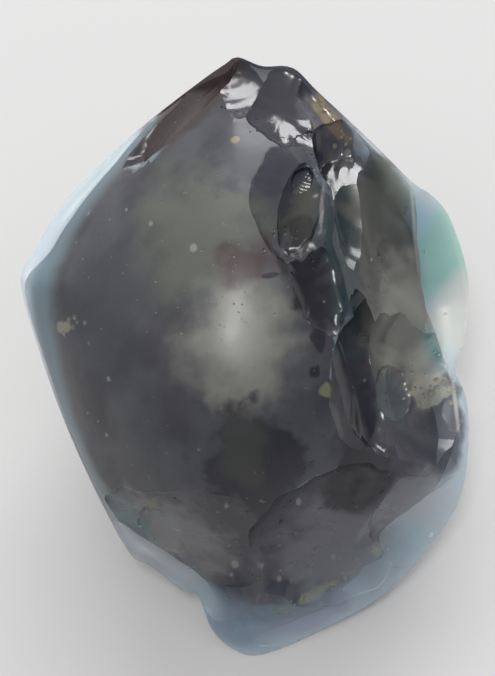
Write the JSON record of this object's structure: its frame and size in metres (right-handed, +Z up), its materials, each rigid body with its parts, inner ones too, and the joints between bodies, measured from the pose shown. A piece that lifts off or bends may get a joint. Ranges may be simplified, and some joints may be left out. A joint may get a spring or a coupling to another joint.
{
  "type": "tektite",
  "caption": "Pear-shaped flake of dark natural glass with a domed face, shell-shaped flake scars, a thin sharp rim and a worn flat to rest on.",
  "frame": {"origin": "under the middle of the outline, on the surface that the lump rests on", "axes": "+Z up, +Y along the lump's length towards the crest, +X across it, to the right when the domed face is seen with the crest up"},
  "size_m": [0.0568, 0.0656, 0.0422],
  "materials": {
    "tektite_glass": "dark blue-green natural glass, glossy in fresh flake scars and dull on the pitted skin, see-through only at thin edges"
  },
  "bodies": {
    "root": {"tektite": "tektite_glass"}
  },
  "joints": []
}
